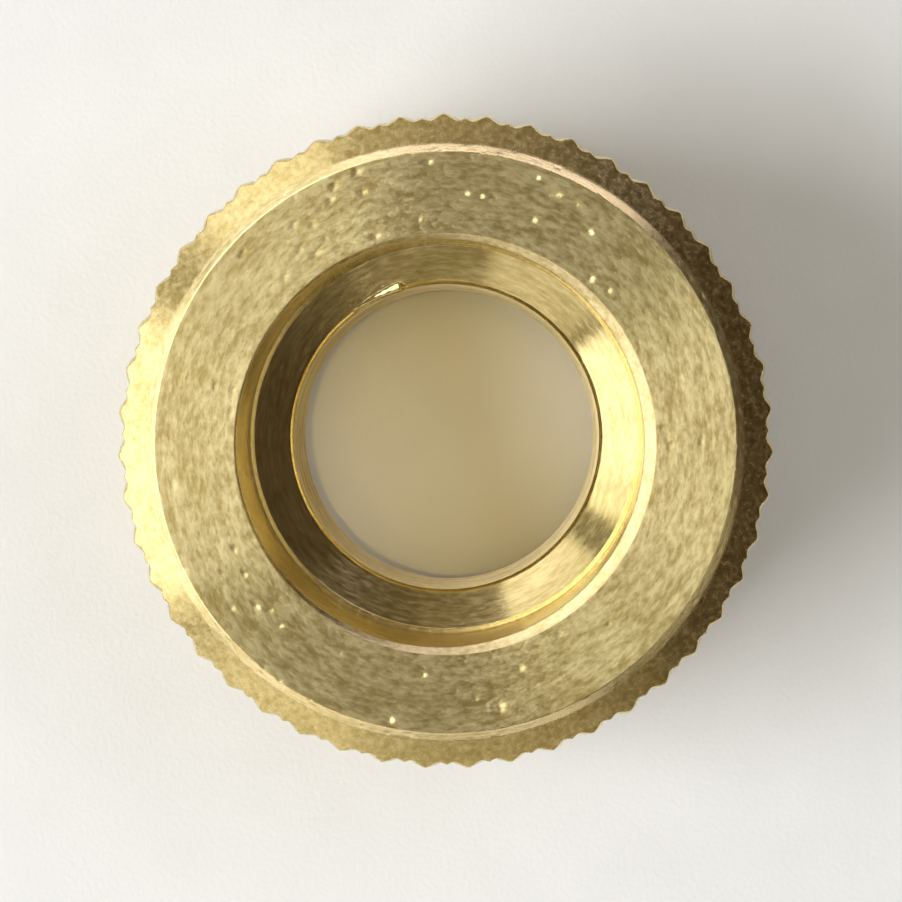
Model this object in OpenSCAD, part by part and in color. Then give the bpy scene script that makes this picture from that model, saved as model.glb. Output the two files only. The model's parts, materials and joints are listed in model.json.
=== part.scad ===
// Knurled thumb nut, turned in one piece from round brass bar.
//
// The nut stands on its plain face. Its axis is +Z, and the origin is in the middle of the
// plain face. The recessed face is on top. A knurled bar is cut to the nut's turned section,
// in the order that the lathe cuts it.

/* [Body] */
// Diameter over the flattened tips of the knurl
knurl_d = 18.8; // [18.5:0.1:20]
// Height from the plain face to the recessed face
nut_h = 8; // [6:0.5:14]
// Outer diameter of the flat ring on each face
face_d = 16.4; // [15:0.1:17]
// Radial width of the small edge break round each flat ring
face_break_w = 0.26; // [0.1:0.02:0.4]
// Drop of that edge break
face_break_h = 0.1; // [0.04:0.02:0.2]
// Slope of the wide outer chamfers, from the flat faces
chamfer_a = 30; // [15:1:55]

/* [Knurl] */
// Diamonds in one row round the nut
knurl_n = 47; // [36:1:60]
// Height of a sharp diamond above its valleys
knurl_h = 0.35; // [0.3:0.05:0.6]
// How much of each sharp tip is missing
knurl_flat = 0.1; // [0.02:0.01:0.2]
// Angle between the knurl's grooves and the axis
knurl_a = 30; // [25:1:45]
// Direction of one column of tips, seen from above
knurl_turn = 2.2; // [0:0.02:7.66]
// Height of the middle row of tips above mid-height
knurl_lift = -0.15; // [-0.5:0.05:0.5]

/* [Recess] */
// Diameter of the recess
recess_d = 11.5; // [10.5:0.1:12.5]
// Depth of the recess at its wall
recess_depth = 2.6; // [1:0.1:3]
// Radial width of the edge break round the recess's mouth
mouth_w = 0.17; // [0.05:0.01:0.4]
// Drop of that edge break
mouth_h = 0.12; // [0.05:0.01:0.4]
// Width of the flat step at the foot of the recess's wall
step_w = 0.14; // [0.05:0.01:0.4]
// Full point angle of the cone between the step and the bore
cone_point_a = 118; // [90:1:140]

/* [Bore] */
// Diameter of the bore, which is the thread's minor diameter
bore_d = 8.92; // [8:0.01:9.2]
// Outer diameter of the thread
thread_d = 10; // [9.5:0.1:10.2]
// Radial room between the thread and the mouth of its lead-in
lead_in_room = 0.06; // [0:0.02:0.2]

/* [Hidden] */
$fn = 180;

knurl_r = knurl_d / 2;
face_r = face_d / 2;
recess_r = recess_d / 2;
bore_r = bore_d / 2;

// Outer chamfers
chamfer_r = face_r + face_break_w;
chamfer_h = face_break_h + (knurl_r - chamfer_r) * tan(chamfer_a);

// Heights inside the nut
step_r = recess_r - step_w;
step_z = nut_h - recess_depth;
bore_top_z = step_z - (step_r - bore_r) / tan(cone_point_a / 2);
lead_in = thread_d / 2 + lead_in_room - bore_r;

// The knurl is a net of points in level rows. Along a row, tips and valley crossings take
// turns, and each row is turned by one point from the row below it.
row_points = 2 * knurl_n;
row_gap = PI * knurl_r / (knurl_n * tan(knurl_a));
rows_half = ceil(nut_h / (2 * row_gap)) + 1;
rows = 2 * rows_half + 1;
sharp_r = knurl_r + knurl_flat;
valley_r = sharp_r - knurl_h;

// Whether point i of row k is a tip: the middle row has one in the direction knurl_turn
function is_tip(k, i) = (k + rows_half + i) % 2 == 0;

function net_point(k, i) =
    let (r = is_tip(k, i) ? sharp_r : valley_r)
    let (a = knurl_turn + i * 360 / row_points)
    [r * cos(a), r * sin(a), nut_h / 2 + knurl_lift + (k - rows_half) * row_gap];

function net_index(k, i) = k * row_points + i % row_points;

// The two triangles between four neighbouring points, split along the valley that joins
// the two crossings, so that each triangle is one face of a diamond.
function net_faces(k, i) =
    let (a = net_index(k, i), b = net_index(k, i + 1))
    let (c = net_index(k + 1, i + 1), d = net_index(k + 1, i))
    is_tip(k, i) ? [[a, d, b], [d, c, b]] : [[a, d, c], [a, c, b]];

module knurled_bar() {
    points = [for (k = [0 : rows - 1]) for (i = [0 : row_points - 1]) net_point(k, i)];
    sides = [for (k = [0 : rows - 2]) for (i = [0 : row_points - 1]) each net_faces(k, i)];
    bottom = [for (i = [0 : row_points - 1]) net_index(0, i)];
    top = [for (i = [row_points - 1 : -1 : 0]) net_index(rows - 1, i)];
    polyhedron(points = points, faces = concat([bottom, top], sides));
}

// Half section of the nut as the lathe leaves it, as [radius, height] pairs
module half_section() {
    polygon([
        [bore_r + lead_in, 0],
        [face_r, 0],
        [chamfer_r, face_break_h],
        [knurl_r, chamfer_h],
        [knurl_r, nut_h - chamfer_h],
        [chamfer_r, nut_h - face_break_h],
        [face_r, nut_h],
        [recess_r + mouth_w, nut_h],
        [recess_r, nut_h - mouth_h],
        [recess_r, step_z],
        [step_r, step_z],
        [bore_r, bore_top_z],
        [bore_r, lead_in]
    ]);
}

module knurled_nut() {
    color("goldenrod")
        intersection() {
            knurled_bar();
            rotate_extrude() half_section();
        }
}

knurled_nut();
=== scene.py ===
import json
import math
import random

import bpy
import numpy as np
from mathutils import Matrix, Vector


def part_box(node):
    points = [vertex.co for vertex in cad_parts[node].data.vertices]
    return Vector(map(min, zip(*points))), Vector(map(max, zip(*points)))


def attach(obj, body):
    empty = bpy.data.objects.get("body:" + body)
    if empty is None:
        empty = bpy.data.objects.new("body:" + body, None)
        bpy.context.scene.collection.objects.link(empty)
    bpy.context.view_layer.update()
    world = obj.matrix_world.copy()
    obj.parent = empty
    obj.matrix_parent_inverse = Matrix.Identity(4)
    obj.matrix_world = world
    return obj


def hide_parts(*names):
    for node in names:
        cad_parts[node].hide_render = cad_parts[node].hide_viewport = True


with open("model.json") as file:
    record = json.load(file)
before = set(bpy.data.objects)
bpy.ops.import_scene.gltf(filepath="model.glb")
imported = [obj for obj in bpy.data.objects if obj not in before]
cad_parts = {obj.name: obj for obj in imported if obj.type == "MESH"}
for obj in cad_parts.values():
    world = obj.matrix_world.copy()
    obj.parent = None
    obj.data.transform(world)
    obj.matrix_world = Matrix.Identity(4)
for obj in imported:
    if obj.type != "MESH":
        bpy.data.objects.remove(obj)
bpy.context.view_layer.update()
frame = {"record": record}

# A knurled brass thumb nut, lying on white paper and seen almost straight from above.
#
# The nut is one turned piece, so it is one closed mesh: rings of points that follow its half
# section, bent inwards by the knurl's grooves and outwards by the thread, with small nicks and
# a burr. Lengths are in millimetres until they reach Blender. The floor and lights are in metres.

MM = 0.001
NODE = "knurled_nut"
MOUNTS = {mount["name"]: mount for mount in frame["record"]["mounts"]}

# ------------------------------------------------------------------ sizes

low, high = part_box(NODE)
NUT_H = (high.z - low.z) / MM
TIP_R = max(high.x - low.x, high.y - low.y) / 2 / MM
RECESS_R = MOUNTS["recess"]["dims"]["r_mm"]
BORE_R = MOUNTS["thread"]["dims"]["r_mm"]

# Flat rings, their edge breaks and the wide chamfers
FACE_R = 8.2
BREAK_W = 0.26
BREAK_H = 0.10
CHAMFER_SLOPE = math.radians(30)
CHAMFER_R = FACE_R + BREAK_W
CHAMFER_H = BREAK_H + (TIP_R - CHAMFER_R) * math.tan(CHAMFER_SLOPE)

# Recess, step and cone. The wall leans by its draft, and the step dips at the wall's foot.
MOUTH_W = 0.21
MOUTH_H = 0.10
RECESS_DEPTH = 2.6
WALL_DRAFT = 0.02
STEP_W = 0.14
STEP_DIP = 0.03
CONE_SLOPE = math.radians(31)
MOUTH_R = RECESS_R + MOUTH_W
STEP_R = RECESS_R - STEP_W
STEP_Z = NUT_H - RECESS_DEPTH
BORE_TOP = STEP_Z - (STEP_R - BORE_R) * math.tan(CONE_SLOPE)

# Thread and its lead-in, with the proportions of a metric thread. It fades out as it nears the
# top of the bore: it is gone RUN_OUT_GAP below the cone, and full RUN_OUT further down.
PITCH = 1.0
THREAD_DEPTH = 0.5413 * PITCH
GROOVE_FOOT = 0.375 * PITCH
GROOVE_FLANK = 0.3125 * PITCH
RUN_OUT_GAP = 0.30
RUN_OUT = 0.9
LEAD_IN = 0.60

# Knurl: columns round the nut, and half a diamond's height along it. Three widths soften the
# ridges between grooves, the bottoms of the grooves and the flattened tips.
COLUMNS = 47
GROOVE_SLOPE = math.radians(30)
ROW_GAP = math.pi * TIP_R / (COLUMNS * math.tan(GROOVE_SLOPE))
KNURL_TURN = math.radians(2.2)
KNURL_LIFT = -0.15
KNURL_H = 0.38
SHARP_TIP = 0.10
VALLEY_R = TIP_R + SHARP_TIP - KNURL_H
RIDGE_SOFT = 0.02
GROOVE_SOFT = 0.05
TIP_SOFT = 0.24
UNEVEN = 0.05

# Points round the nut
POINTS_PER_COLUMN = 20
ROUND = COLUMNS * POINTS_PER_COLUMN
THETA = np.arange(ROUND) * 2 * math.pi / ROUND

# Corners of the half section, once round it. Each row: radius, height, rounding, the zone that
# follows it, the spacing of that zone's rings, and how far the lathe left it off centre.
CORNERS = [
    (BORE_R + LEAD_IN, 0.00, 0.04, "plain_face", 0.10, 0.00, 0.00),
    (FACE_R, 0.00, 0.05, "break", 0.03, 0.00, 0.00),
    (CHAMFER_R, BREAK_H, 0.05, "chamfer", 0.035, 0.00, 0.00),
    (TIP_R, CHAMFER_H, 0.00, "knurl", 0.06, 0.00, 0.00),
    (TIP_R, NUT_H - CHAMFER_H, 0.00, "chamfer", 0.035, 0.00, 0.00),
    (CHAMFER_R, NUT_H - BREAK_H, 0.05, "break", 0.03, 0.00, 0.00),
    (FACE_R, NUT_H, 0.05, "top_face", 0.04, 0.00, 0.00),
    (MOUTH_R, NUT_H, 0.03, "mouth", 0.03, 0.00, -0.03),
    (RECESS_R + WALL_DRAFT, NUT_H - MOUTH_H, 0.02, "wall", 0.12, -0.14, 0.00),
    (RECESS_R - WALL_DRAFT, STEP_Z - STEP_DIP, 0.015, "step", 0.02, -0.01, 0.08),
    (STEP_R, STEP_Z, 0.015, "cone", 0.03, -0.01, 0.08),
    (BORE_R, BORE_TOP, 0.20, "bore", 0.06, -0.01, 0.07),
    (BORE_R, LEAD_IN, 0.00, "lead_in", 0.06, 0.00, -0.02),
]
ARC_STEPS = 7


# ------------------------------------------------------------------ the nut's rings

def corner_arc(before, corner, after, rounding):
    """Points of the small curve that rounds one corner of the half section."""
    corner = np.array(corner)
    if rounding == 0:
        return [corner]
    start = np.array(before) - corner
    end = np.array(after) - corner
    start = corner + start * rounding / np.linalg.norm(start)
    end = corner + end * rounding / np.linalg.norm(end)
    steps = np.linspace(0, 1, ARC_STEPS)
    return [start * (1 - t) ** 2 + corner * 2 * t * (1 - t) + end * t ** 2 for t in steps]


def half_section():
    """Every ring's radius and height, zone and offset. Two zones share each corner's arc."""
    count = len(CORNERS)
    spots = [row[:2] for row in CORNERS]
    arcs = [
        corner_arc(spots[i - 1], spots[i], spots[(i + 1) % count], CORNERS[i][2])
        for i in range(count)
    ]
    points, zones, offsets = [], [], []
    for i in range(count):
        after = (i + 1) % count
        zone, spacing = CORNERS[i][3:5]
        start, end = arcs[i][-1], arcs[after][0]
        steps = max(1, math.ceil(np.linalg.norm(end - start) / spacing))
        straight = [start + (end - start) * k / steps for k in range(1, steps)]
        shift_a, shift_b = np.array(CORNERS[i][5:]), np.array(CORNERS[after][5:])
        half = len(arcs[i]) // 2
        points += arcs[i] + straight
        zones += [CORNERS[i - 1][3]] * half + [zone] * (len(arcs[i]) - half + len(straight))
        offsets += [shift_a] * len(arcs[i])
        offsets += [shift_a + (shift_b - shift_a) * k / steps for k in range(1, steps)]
    return np.array(points), zones, np.array(offsets)


def soft_min(a, b, width):
    """The smaller of two heights, with the crease between them rounded over about width."""
    gap = np.clip(0.5 + 0.5 * (b - a) / width, 0, 1)
    return b * (1 - gap) + a * gap - width * gap * (1 - gap)


def wander(theta, z, seed, waves=6):
    """A smooth uneven field, mostly between -1 and 1, seamless round the nut."""
    pick = random.Random(seed)
    total = 0
    for _ in range(waves):
        turns = pick.randint(3, 40)
        along = pick.uniform(-4, 4)
        phase = pick.uniform(0, 2 * math.pi)
        total = total + np.sin(turns * theta + along * z + phase)
    return total / math.sqrt(waves)


def knurl_radius(theta, z):
    """The rolled diamonds: two crossing families of grooves, with flattened tips."""
    across = (theta - KNURL_TURN) * COLUMNS / (2 * math.pi)
    along = (z - NUT_H / 2 - KNURL_LIFT) / (2 * ROW_GAP)
    one, other = across + along, across - along
    one = 0.5 - np.abs(one - np.round(one))
    other = 0.5 - np.abs(other - np.round(other))
    height = soft_min(one, other, RIDGE_SOFT) * 2 * KNURL_H
    height = np.sqrt(height ** 2 + GROOVE_SOFT ** 2) - GROOVE_SOFT
    height = height * (1 + UNEVEN * wander(theta, z, 11))
    return VALLEY_R + soft_min(height, np.full_like(height, TIP_R - VALLEY_R), TIP_SOFT)


def thread_radius(theta, z):
    """The right-hand thread in the bore, which runs out just under the cone."""
    turn = np.mod(z / PITCH - theta / (2 * math.pi), 1.0)
    off = np.abs(turn - 0.5) * PITCH
    groove = np.clip((GROOVE_FOOT - off) / GROOVE_FLANK, 0, 1)
    fade = np.clip((BORE_TOP - RUN_OUT_GAP - z) / RUN_OUT, 0, 1)
    return BORE_R + THREAD_DEPTH * groove * fade * fade * (3 - 2 * fade)


# ------------------------------------------------------------------ nicks and burrs

class Relief:
    """Small lumps and dents on the nut, as a height over each point of its rings.

    A lump's reach is how many of its own lengths or widths it is worked out over.
    """

    REACH = 2.5

    def __init__(self, points, zones):
        steps = np.linalg.norm(np.diff(points, axis=0, append=points[:1]), axis=1)
        self.along = np.concatenate([[0], np.cumsum(steps)[:-1]])
        self.radius = points[:, 0]
        self.zones = np.array(zones)
        self.top = points[:, 1] > NUT_H / 2
        self.lift = np.zeros((len(points), ROUND))

    def place(self, zone, part, top=True):
        """The distance along the section at which part of a zone has gone by."""
        rows = self.along[(self.zones == zone) & (self.top == top)]
        return rows[0] + (rows[-1] - rows[0]) * part

    def add(self, spot, theta, length, width, height):
        """One lump, length long round the nut and width wide across the section."""
        near = np.flatnonzero(np.abs(self.along - spot) < self.REACH * width)
        if not len(near):
            return
        radius = self.radius[near].mean()
        turn = np.abs(np.mod(THETA - theta + math.pi, 2 * math.pi) - math.pi) * radius
        close = np.flatnonzero(turn < self.REACH * length)
        down = np.exp(-((self.along[near] - spot) / width) ** 2)
        over = np.exp(-(turn[close] / length) ** 2)
        self.lift[np.ix_(near, close)] += height * np.outer(down, over)

    def scatter(self, zone, parts, count, sizes, heights, seed, top=True):
        """Lumps, or dents where the height is negative, at random places in part of a zone."""
        pick = random.Random(seed)
        for _ in range(count):
            spot = self.place(zone, pick.uniform(*parts), top)
            size = pick.uniform(*sizes)
            length = size * pick.uniform(1.0, 2.2)
            self.add(spot, pick.uniform(0, 2 * math.pi), length, size, pick.uniform(*heights))

    def lip(self, end, middle, length, width, height, seed):
        """A raised edge that reaches length either way of its middle, and where it is.

        Along the section it rises as far as end and falls away past it. Round the nut it is full
        at one end and a tenth as high at the other, with both ends rounded off.
        """
        past_end = 0.05
        rounded_off = 0.2
        radius = self.radius[np.argmin(np.abs(self.along - end))]
        turn = (np.mod(THETA - middle + math.pi, 2 * math.pi) - math.pi) * radius
        taper = np.clip(0.55 - 0.45 * turn / length, 0, 1)
        taper = taper * np.clip((length - abs(turn)) / rounded_off, 0, 1)
        reach = width * taper * (1 + 0.05 * wander(THETA, 0, seed))
        past = self.along[:, None] - end
        rise = np.clip(past + reach, 0, reach) * height / width
        self.lift += rise * np.clip(1 - past / past_end, 0, 1)
        return radius

    def burr(self, end, middle, length, width, height, seed):
        """A raised lip with a ragged top, as a tool leaves when it breaks through an edge."""
        radius = self.lip(end, middle, length, width, height, seed)
        pick = random.Random(seed)
        for _ in range(60):
            theta = middle + pick.uniform(-0.9, 0.9) * length / radius
            size = pick.uniform(0.03, 0.05)
            tall = pick.uniform(-0.003, 0.004)
            self.add(end - pick.uniform(0, width), theta, size * 1.6, size, tall)


def wear(points, zones):
    """The nicks that handling left on each surface, and the burr that the lathe left."""
    relief = Relief(points, zones)
    relief.scatter("break", (0.3, 1.0), 80, (0.04, 0.06), (-0.010, 0.006), 1)
    relief.scatter("top_face", (0.0, 0.05), 50, (0.05, 0.07), (-0.014, 0.000), 2)
    relief.scatter("top_face", (0.06, 0.94), 56, (0.04, 0.09), (-0.055, -0.015), 3)
    relief.scatter("mouth", (0.0, 0.6), 40, (0.04, 0.06), (-0.003, 0.001), 4)
    relief.scatter("chamfer", (0.1, 0.9), 30, (0.05, 0.10), (-0.008, 0.004), 5)
    relief.scatter("plain_face", (0.05, 0.95), 60, (0.08, 0.16), (-0.020, -0.006), 6, top=False)
    relief.burr(relief.place("cone", 1.0) - 0.05, math.radians(116), 0.92, 0.25, 0.195, 7)
    return relief.lift


# ------------------------------------------------------------------ the nut's mesh

def nut_points():
    """The place of every point of the nut, ring by ring, and each ring's zone.

    The grooves only cut into the turned shape, and nothing goes past the CAD's tips or faces.
    """
    points, zones, offsets = half_section()
    theta, z = np.meshgrid(THETA, points[:, 1])
    radius = np.repeat(points[:, :1], ROUND, axis=1)
    outside = np.isin(zones, ("break", "chamfer", "knurl"))[:, None] & (radius > FACE_R)
    inside = np.isin(zones, ("bore", "lead_in"))[:, None]
    radius = np.where(outside, np.minimum(radius, knurl_radius(theta, z)), radius)
    radius = np.where(inside, np.maximum(radius, thread_radius(theta, z)), radius)
    ahead = np.roll(points, -1, axis=0) - np.roll(points, 1, axis=0)
    ahead /= np.linalg.norm(ahead, axis=1)[:, None]
    lift = wear(points, zones)
    radius = radius + lift * ahead[:, 1:]
    z = np.clip(z - lift * ahead[:, :1], 0, NUT_H)
    radius = np.minimum(radius, TIP_R)
    x = radius * np.cos(theta) + offsets[:, :1]
    y = radius * np.sin(theta) + offsets[:, 1:]
    return np.stack([x, y, z], axis=-1), zones


def ring_faces(rings):
    """Quads between neighbouring rings, closed both ways."""
    ring = np.arange(rings)[:, None]
    step = np.arange(ROUND)[None, :]
    next_ring, next_step = (ring + 1) % rings, (step + 1) % ROUND
    corners = [
        ring * ROUND + step,
        ring * ROUND + next_step,
        next_ring * ROUND + next_step,
        next_ring * ROUND + step,
    ]
    return np.stack(corners, axis=-1).reshape(-1, 4)


def build_nut(materials):
    """The nut as one closed mesh, with one material for each kind of surface."""
    points, zones = nut_points()
    mesh = bpy.data.meshes.new("turned_nut")
    mesh.from_pydata((points.reshape(-1, 3) * MM).tolist(), [], ring_faces(len(zones)).tolist())
    names = list(materials)
    for name in names:
        mesh.materials.append(materials[name])
    slots = [names.index(ZONE_FINISH[zone]) for zone in zones]
    mesh.polygons.foreach_set("material_index", np.repeat(slots, ROUND))
    mesh.polygons.foreach_set("use_smooth", np.ones(len(mesh.polygons), bool))
    mesh.validate()
    mesh.update()
    nut = bpy.data.objects.new("turned_nut", mesh)
    bpy.context.scene.collection.objects.link(nut)
    nut.location.z = low.z
    return nut


# ------------------------------------------------------------------ materials

ZONE_FINISH = {
    "plain_face": "faced_brass",
    "break": "edge_brass",
    "chamfer": "chamfer_brass",
    "knurl": "knurled_brass",
    "top_face": "faced_brass",
    "mouth": "mouth_brass",
    "wall": "bored_brass",
    "step": "edge_brass",
    "cone": "cone_brass",
    "bore": "bore_brass",
    "lead_in": "bore_brass",
}


def add_node(tree, kind, inputs=None, **settings):
    """A shader node with its settings made and its inputs set or linked."""
    node = tree.nodes.new(kind)
    for name, value in settings.items():
        setattr(node, name, value)
    for name, value in (inputs or {}).items():
        if isinstance(value, bpy.types.NodeSocket):
            tree.links.new(value, node.inputs[name])
        else:
            node.inputs[name].default_value = value
    return node


def math_node(tree, operation, *values):
    """The result of one sum."""
    inputs = dict(enumerate(values))
    return add_node(tree, "ShaderNodeMath", inputs, operation=operation).outputs[0]


def mixed(tree, factor, one, other):
    """A colour between two others."""
    inputs = {"Factor": factor, 6: one, 7: other}
    node = add_node(tree, "ShaderNodeMix", inputs, data_type="RGBA", clamp_factor=True)
    return node.outputs[2]


def stretched(tree, value, low_in, high_in, low_out, high_out):
    """A value moved from one range to another."""
    inputs = {0: value, 1: low_in, 2: high_in, 3: low_out, 4: high_out}
    return add_node(tree, "ShaderNodeMapRange", inputs).outputs[0]


def turned_space(tree, round_detail, across_detail):
    """Coordinates that follow the lathe: two run round the axis, the third across the marks.

    A mark is as long as the radius over round_detail, and one over across_detail mm wide.
    """
    place = add_node(tree, "ShaderNodeTexCoord").outputs["Object"]
    flat = add_node(
        tree, "ShaderNodeVectorMath", {0: place, 1: (1, 1, 0)}, operation="MULTIPLY"
    ).outputs[0]
    radius = add_node(tree, "ShaderNodeVectorMath", {0: flat}, operation="LENGTH").outputs["Value"]
    facing = add_node(tree, "ShaderNodeVectorMath", {0: flat}, operation="NORMALIZE").outputs[0]
    height = add_node(tree, "ShaderNodeSeparateXYZ", {0: place}).outputs[2]
    depth = math_node(tree, "MULTIPLY_ADD", height, 0.6, radius)
    across = math_node(tree, "MULTIPLY", depth, across_detail / MM)
    lift = add_node(tree, "ShaderNodeCombineXYZ", {"Z": across}).outputs[0]
    return add_node(
        tree,
        "ShaderNodeVectorMath",
        {0: facing, 1: (round_detail,) * 3, 2: lift},
        operation="MULTIPLY_ADD",
    ).outputs[0]


def turned_noise(tree, round_detail, across_detail):
    """Noise drawn out along the lathe's marks, from 0 to 1."""
    space = turned_space(tree, round_detail, across_detail)
    inputs = {"Vector": space, "Scale": 1.0, "Detail": 3.0, "Roughness": 0.6}
    return add_node(tree, "ShaderNodeTexNoise", inputs).outputs["Fac"]


def plain_noise(tree, per_mm):
    """Noise with no direction, from 0 to 1."""
    place = add_node(tree, "ShaderNodeTexCoord").outputs["Object"]
    inputs = {"Vector": place, "Scale": per_mm / MM, "Detail": 3.0}
    return add_node(tree, "ShaderNodeTexNoise", inputs).outputs["Fac"]


def new_material(name):
    """An empty material, its tree and its principled shader."""
    material = bpy.data.materials.new(name)
    material.use_nodes = True
    tree = material.node_tree
    return material, tree, tree.nodes["Principled BSDF"]


def turned_brass(name, tones, rough, grain, rings, mix, relief, anisotropy):
    """Brass as a lathe tool leaves it: short grains, longer marks and a faint patina."""
    material, tree, shader = new_material(name)
    grains = turned_noise(tree, *grain)
    lines = turned_noise(tree, *rings)
    patina = plain_noise(tree, 0.5)
    marks = math_node(tree, "MULTIPLY", grains, mix[0])
    marks = math_node(tree, "MULTIPLY_ADD", lines, mix[1], marks)
    shade = math_node(tree, "MULTIPLY_ADD", patina, mix[2], marks)
    shade = stretched(tree, shade, 0.40, 0.60, 0.0, 1.0)
    colour = mixed(tree, shade, tones[0], tones[1])
    tree.links.new(colour, shader.inputs["Base Color"])
    roughness = stretched(tree, grains, 0.3, 0.7, rough[0], rough[1])
    tree.links.new(roughness, shader.inputs["Roughness"])
    shader.inputs["Metallic"].default_value = 1.0
    shader.inputs["Anisotropic"].default_value = anisotropy
    shader.inputs["Anisotropic Rotation"].default_value = 0.25
    tangent = add_node(tree, "ShaderNodeTangent", direction_type="RADIAL", axis="Z")
    tree.links.new(tangent.outputs[0], shader.inputs["Tangent"])
    bump = add_node(
        tree, "ShaderNodeBump", {"Height": marks, "Strength": 1.0, "Distance": relief * MM}
    )
    tree.links.new(bump.outputs[0], shader.inputs["Normal"])
    return material


def brass_finishes():
    """Each kind of turned surface on the nut.

    Each row: its dark and light tones, the range of its roughness, the detail round and across
    of its grains and of its lines, the shares of grains, lines and patina in its shade, the
    depth of its marks in millimetres, and how far they stretch its highlights.
    """
    strong = ((0.54, 0.42, 0.16, 1), (1.00, 0.88, 0.47, 1))
    middle = ((0.62, 0.49, 0.20, 1), (0.94, 0.78, 0.40, 1))
    soft = ((0.68, 0.55, 0.25, 1), (0.90, 0.77, 0.42, 1))
    dull = ((0.55, 0.44, 0.22, 1), (0.82, 0.69, 0.41, 1))
    pale = ((0.80, 0.68, 0.36, 1), (0.97, 0.87, 0.55, 1))
    worn = ((0.50, 0.40, 0.18, 1), (0.84, 0.70, 0.40, 1))
    kinds = {
        "faced_brass": (strong, (0.34, 0.46), (20, 7), (8, 3), (0.55, 0.30, 0.15), 0.035, 1.0),
        "edge_brass": (soft, (0.20, 0.28), (30, 14), (3, 20), (0.50, 0.30, 0.20), 0.006, 0.2),
        "chamfer_brass": (middle, (0.20, 0.30), (50, 10), (24, 5), (0.50, 0.30, 0.20), 0.003, 0.4),
        "mouth_brass": (worn, (0.28, 0.40), (30, 8), (12, 5), (0.50, 0.30, 0.20), 0.004, 0.3),
        "knurled_brass": (dull, (0.26, 0.36), (60, 8), (20, 8), (0.40, 0.20, 0.40), 0.012, 0.0),
        "bored_brass": (pale, (0.14, 0.22), (14, 9), (2, 14), (0.30, 0.50, 0.20), 0.005, 0.5),
        "bore_brass": (pale, (0.72, 0.82), (14, 9), (2, 14), (0.30, 0.50, 0.20), 0.005, 0.9),
        "cone_brass": (middle, (0.11, 0.18), (14, 8), (4, 6), (0.35, 0.30, 0.35), 0.006, 0.2),
    }
    return {name: turned_brass(name, *kind) for name, kind in kinds.items()}


def paper():
    """White paper with a faint mottle and tooth."""
    material, tree, shader = new_material("paper")
    mottle = plain_noise(tree, 0.35)
    tooth = plain_noise(tree, 6.0)
    colour = mixed(tree, mottle, (0.83, 0.83, 0.82, 1), (0.90, 0.90, 0.895, 1))
    tree.links.new(colour, shader.inputs["Base Color"])
    shader.inputs["Roughness"].default_value = 0.9
    shader.inputs["Specular IOR Level"].default_value = 0.2
    bump = add_node(
        tree, "ShaderNodeBump", {"Height": tooth, "Strength": 0.5, "Distance": 0.02 * MM}
    )
    tree.links.new(bump.outputs[0], shader.inputs["Normal"])
    return material


# ------------------------------------------------------------------ the stage

FLOOR_SIZE = 1.2
LIGHT_DISTANCE = 0.40
GLOW_DISTANCE = 0.30


def build_floor():
    """The sheet that the nut lies on."""
    half = FLOOR_SIZE / 2
    corners = [(-half, -half, 0), (half, -half, 0), (half, half, 0), (-half, half, 0)]
    mesh = bpy.data.meshes.new("floor")
    mesh.from_pydata(corners, [], [(0, 1, 2, 3)])
    mesh.materials.append(paper())
    floor = bpy.data.objects.new("floor", mesh)
    bpy.context.scene.collection.objects.link(floor)
    floor.location.z = low.z
    return floor


def direction(azimuth, elevation):
    """The unit vector towards a compass direction in plan, counted from +X, and a height."""
    azimuth, elevation = math.radians(azimuth), math.radians(elevation)
    across = math.cos(elevation)
    return Vector((math.cos(azimuth) * across, math.sin(azimuth) * across, math.sin(elevation)))


def hang(light, towards, distance, centre=(0, 0, 0)):
    """Put a light in the scene, out of the camera's sight and facing a centre."""
    lamp = bpy.data.objects.new(light.name, light)
    bpy.context.scene.collection.objects.link(lamp)
    lamp.location = towards * distance + Vector(centre)
    lamp.rotation_mode = "QUATERNION"
    lamp.rotation_quaternion = towards.to_track_quat("Z", "Y")
    lamp.visible_camera = False
    return lamp


def softbox(name, azimuth, elevation, width, height, radiance, colour, lights_up):
    """A flat soft light that faces the nut. Its power follows from how bright it looks.

    Light for the metal shows only in its reflections, and light for the paper has none.
    """
    light = bpy.data.lights.new(name, "AREA")
    light.shape = "RECTANGLE"
    light.size = width
    light.size_y = height
    light.energy = radiance * math.pi * width * height
    light.color = colour
    lamp = hang(light, direction(azimuth, elevation), LIGHT_DISTANCE)
    lamp.visible_diffuse = lights_up == "paper"
    lamp.visible_glossy = lights_up == "metal"


def glow(azimuth, elevation, power, colour):
    """The warm light that the brass throws down into its own bore, as a narrow soft beam."""
    light = bpy.data.lights.new("glow", "SPOT")
    light.energy = power
    light.color = colour
    light.spot_size = 2 * math.atan(RECESS_R * 0.95 * MM / GLOW_DISTANCE)
    light.spot_blend = 0.4
    light.shadow_soft_size = 0.002
    lamp = hang(light, direction(azimuth, elevation), GLOW_DISTANCE, (0, 0, NUT_H * MM))
    lamp.visible_glossy = False


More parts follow.
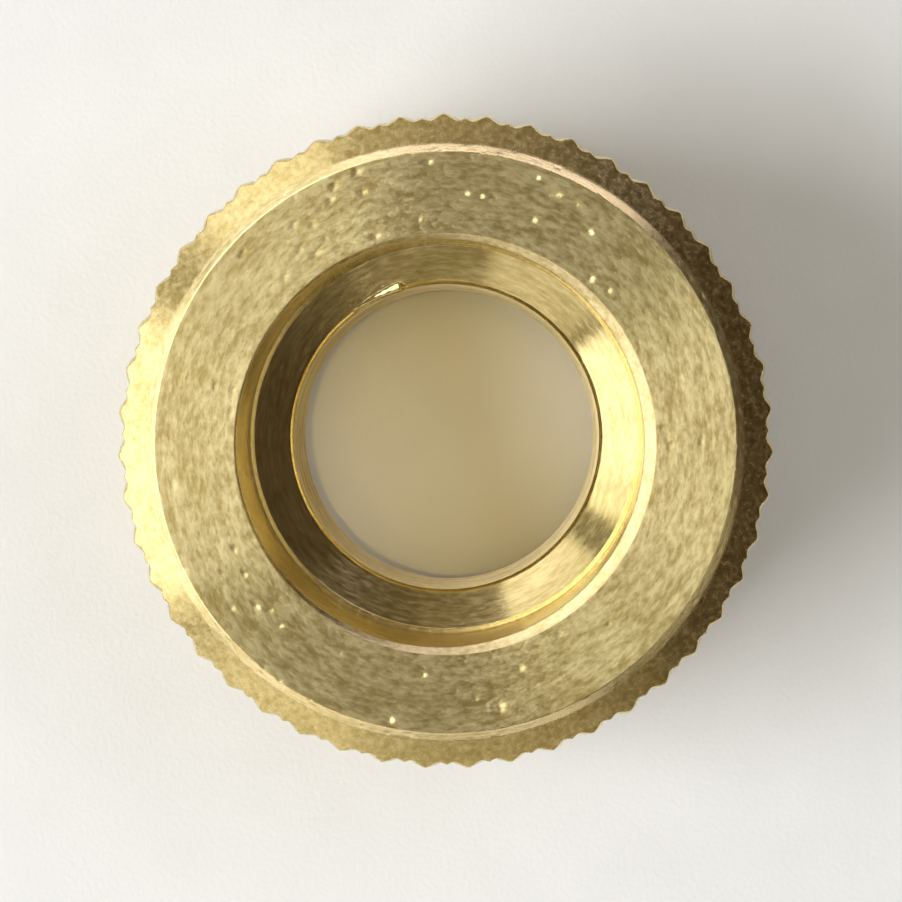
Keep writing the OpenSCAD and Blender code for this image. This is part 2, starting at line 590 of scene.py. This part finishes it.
def build_lights():
    """Tall windows and strips that the metal mirrors, and the soft light on the paper.

    Each row: name, azimuth and elevation in degrees, width and height, brightness, colour.
    """
    softbox("window_w", 186, 38, 0.370, 0.500, 1.35, (1.00, 0.98, 0.95), "metal")
    softbox("window_nw", 128, 38, 0.190, 0.500, 0.90, (1.00, 0.98, 0.95), "metal")
    softbox("window_sw", 238, 38, 0.210, 0.500, 0.36, (1.00, 0.95, 0.88), "metal")
    softbox("window_top", 160, 68, 0.320, 0.120, 2.20, (1.00, 0.97, 0.95), "metal")
    softbox("window_e", 0, 66, 0.240, 0.100, 0.90, (1.00, 0.94, 0.88), "metal")
    softbox("strip_n", 80, 48, 0.340, 0.060, 2.50, (0.90, 0.82, 1.00), "metal")
    softbox("strip_s", 262, 45, 0.420, 0.060, 1.20, (1.00, 0.95, 1.00), "metal")
    softbox("strip_e", 326, 46, 0.180, 0.060, 0.60, (1.00, 0.90, 0.74), "metal")
    softbox("key", 195, 33, 0.340, 0.240, 8.0, (0.98, 0.99, 1.00), "paper")
    softbox("fill", 30, 72, 0.440, 0.440, 0.38, (0.98, 0.99, 1.00), "paper")
    softbox("fill_e", 20, 40, 0.400, 0.300, 1.00, (0.97, 0.98, 1.00), "paper")
    glow(180, 87, 0.78, (1.00, 0.72, 0.20))


# Colours of the room round the horizon, from the side away from the windows to their side
WINDOW_SIDE = 190
HORIZON = [
    (0.00, (0.036, 0.018, 0.008, 1)),
    (0.15, (0.044, 0.026, 0.013, 1)),
    (0.40, (0.340, 0.280, 0.180, 1)),
    (0.60, (0.500, 0.450, 0.320, 1)),
    (1.00, (0.550, 0.520, 0.420, 1)),
]
UPPER_WALL = (0.10, 0.085, 0.06, 1)
CEILING = (0.17, 0.145, 0.09, 1)
BEYOND_FLOOR = (0.85, 0.84, 0.82, 1)


def horizon_colour(tree, facing):
    """The room's colour in each compass direction."""
    flat = add_node(
        tree, "ShaderNodeVectorMath", {0: facing, 1: (1, 1, 0)}, operation="MULTIPLY"
    ).outputs[0]
    flat = add_node(tree, "ShaderNodeVectorMath", {0: flat}, operation="NORMALIZE").outputs[0]
    sides = {0: flat, 1: direction(WINDOW_SIDE, 0)}
    towards = add_node(tree, "ShaderNodeVectorMath", sides, operation="DOT_PRODUCT")
    turn = stretched(tree, towards.outputs["Value"], -1, 1, 0, 1)
    ramp = add_node(tree, "ShaderNodeValToRGB", {0: turn})
    for place, _ in HORIZON[1:-1]:
        ramp.color_ramp.elements.new(place)
    for stop, (place, colour) in zip(ramp.color_ramp.elements, HORIZON):
        stop.position = place
        stop.color = colour
    return ramp.outputs[0]


def build_world():
    """A plain room, brighter on the window side and brown in the shade on the other.

    The metal mirrors the room. The camera itself sees pale grey where the floor ends.
    """
    world = bpy.data.worlds.new("room")
    world.use_nodes = True
    tree = world.node_tree
    facing = add_node(tree, "ShaderNodeTexCoord").outputs["Generated"]
    height = add_node(tree, "ShaderNodeSeparateXYZ", {0: facing}).outputs[2]
    higher = stretched(tree, height, 0.42, 0.55, 0.0, 0.70)
    walls = mixed(tree, higher, horizon_colour(tree, facing), UPPER_WALL)
    overhead = stretched(tree, height, 0.80, 0.95, 0.0, 1.0)
    room = mixed(tree, overhead, walls, CEILING)
    seen = add_node(tree, "ShaderNodeLightPath").outputs["Is Camera Ray"]
    colour = mixed(tree, seen, room, BEYOND_FLOOR)
    tree.links.new(colour, tree.nodes["Background"].inputs["Color"])
    bpy.context.scene.world = world


# The camera's place and the spot that it looks at, in millimetres from the nut's origin
CAMERA_PLACE = (1.27, 2.82, NUT_H + 72.5)
CAMERA_TARGET = (0.177, -0.206, NUT_H)
LENS = 102.7
SENSOR = 36.0


def build_camera():
    """The camera, close over the nut and a little towards +Y of its axis, with +Y up."""
    camera = bpy.data.cameras.new("camera")
    camera.lens = LENS
    camera.sensor_width = SENSOR
    camera.clip_start = 0.001
    camera.clip_end = 5.0
    eye = bpy.data.objects.new("camera", camera)
    bpy.context.scene.collection.objects.link(eye)
    place = Vector(CAMERA_PLACE) * MM
    target = Vector(CAMERA_TARGET) * MM
    back = (place - target).normalized()
    right = Vector((0, 1, 0)).cross(back).normalized()
    up = back.cross(right)
    turn = Matrix((right, up, back)).transposed().to_4x4()
    eye.matrix_world = Matrix.Translation(place) @ turn
    bpy.context.scene.camera = eye


# ------------------------------------------------------------------ put together

nut = build_nut(brass_finishes())
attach(nut, "root")
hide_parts(NODE)

build_floor()
build_lights()
build_world()
build_camera()
bpy.context.scene.view_settings.view_transform = "Standard"
